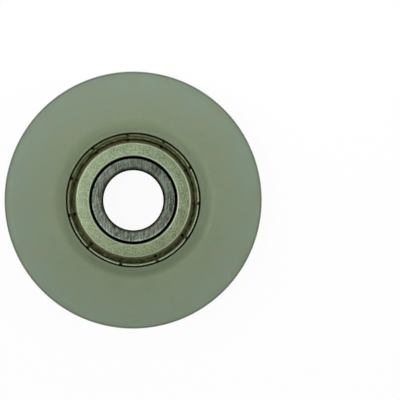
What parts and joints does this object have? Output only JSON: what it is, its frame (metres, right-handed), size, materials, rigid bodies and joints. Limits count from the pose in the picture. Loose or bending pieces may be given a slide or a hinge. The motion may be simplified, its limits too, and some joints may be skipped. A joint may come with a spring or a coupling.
{
  "type": "u groove wheel",
  "caption": "Moulded plastic wheel with a round groove in its rim, running on a metal shielded ball bearing with a plain bore for an axle.",
  "frame": {"origin": "centre of the bore at mid width", "axes": "+Z along the axle, towards the shown face; the wheel lies on its back face"},
  "size_m": [0.05, 0.05, 0.016],
  "materials": {
    "nylon": "satin translucent grey-green moulded nylon",
    "ring_steel": "ground",
    "ball_steel": "polished",
    "cage_steel": "pressed sheet, dull",
    "shield_steel": "pressed plated sheet, satin"
  },
  "bodies": {
    "inner_ring": {"bearing_inner_ring": "ring_steel"},
    "wheel": {"wheel_body": "nylon", "bearing_outer_ring": "ring_steel", "shield_front": "shield_steel", "shield_back": "shield_steel"},
    "cage": {"cage_front": "cage_steel", "cage_back": "cage_steel", "cage_rivet_1": "cage_steel", "cage_rivet_2": "cage_steel", "cage_rivet_3": "cage_steel", "cage_rivet_4": "cage_steel", "cage_rivet_5": "cage_steel", "cage_rivet_6": "cage_steel", "cage_rivet_7": "cage_steel"},
    "ball_1": {"ball_1": "ball_steel"},
    "ball_2": {"ball_2": "ball_steel"},
    "ball_3": {"ball_3": "ball_steel"},
    "ball_4": {"ball_4": "ball_steel"},
    "ball_5": {"ball_5": "ball_steel"},
    "ball_6": {"ball_6": "ball_steel"},
    "ball_7": {"ball_7": "ball_steel"}
  },
  "joints": [
    {"name": "wheel_spin", "type": "hinge", "parent": "inner_ring", "child": "wheel", "pos_m": [0, 0, 0], "axis": [0, 0, 1], "continuous": true},
    {"name": "cage_spin", "type": "hinge", "parent": "inner_ring", "child": "cage", "pos_m": [0, 0, 0], "axis": [0, 0, 1], "continuous": true},
    {"name": "ball_1_spin", "type": "hinge", "parent": "cage", "child": "ball_1", "pos_m": [0.011, 0, 0], "axis": [0, 0, 1], "continuous": true},
    {"name": "ball_2_spin", "type": "hinge", "parent": "cage", "child": "ball_2", "pos_m": [0.00686, 0.0086, 0], "axis": [0, 0, 1], "continuous": true},
    {"name": "ball_3_spin", "type": "hinge", "parent": "cage", "child": "ball_3", "pos_m": [-0.00245, 0.01072, 0], "axis": [0, 0, 1], "continuous": true},
    {"name": "ball_4_spin", "type": "hinge", "parent": "cage", "child": "ball_4", "pos_m": [-0.00991, 0.00477, 0], "axis": [0, 0, 1], "continuous": true},
    {"name": "ball_5_spin", "type": "hinge", "parent": "cage", "child": "ball_5", "pos_m": [-0.00991, -0.00477, 0], "axis": [0, 0, 1], "continuous": true},
    {"name": "ball_6_spin", "type": "hinge", "parent": "cage", "child": "ball_6", "pos_m": [-0.00245, -0.01072, 0], "axis": [0, 0, 1], "continuous": true},
    {"name": "ball_7_spin", "type": "hinge", "parent": "cage", "child": "ball_7", "pos_m": [0.00686, -0.0086, 0], "axis": [0, 0, 1], "continuous": true}
  ],
  "couplings": [
    {"joint": "cage_spin", "follows": "wheel_spin", "ratio": 0.6353},
    {"joint": "ball_1_spin", "follows": "wheel_spin", "ratio": 1.7125},
    {"joint": "ball_2_spin", "follows": "wheel_spin", "ratio": 1.7125},
    {"joint": "ball_3_spin", "follows": "wheel_spin", "ratio": 1.7125},
    {"joint": "ball_4_spin", "follows": "wheel_spin", "ratio": 1.7125},
    {"joint": "ball_5_spin", "follows": "wheel_spin", "ratio": 1.7125},
    {"joint": "ball_6_spin", "follows": "wheel_spin", "ratio": 1.7125},
    {"joint": "ball_7_spin", "follows": "wheel_spin", "ratio": 1.7125}
  ]
}
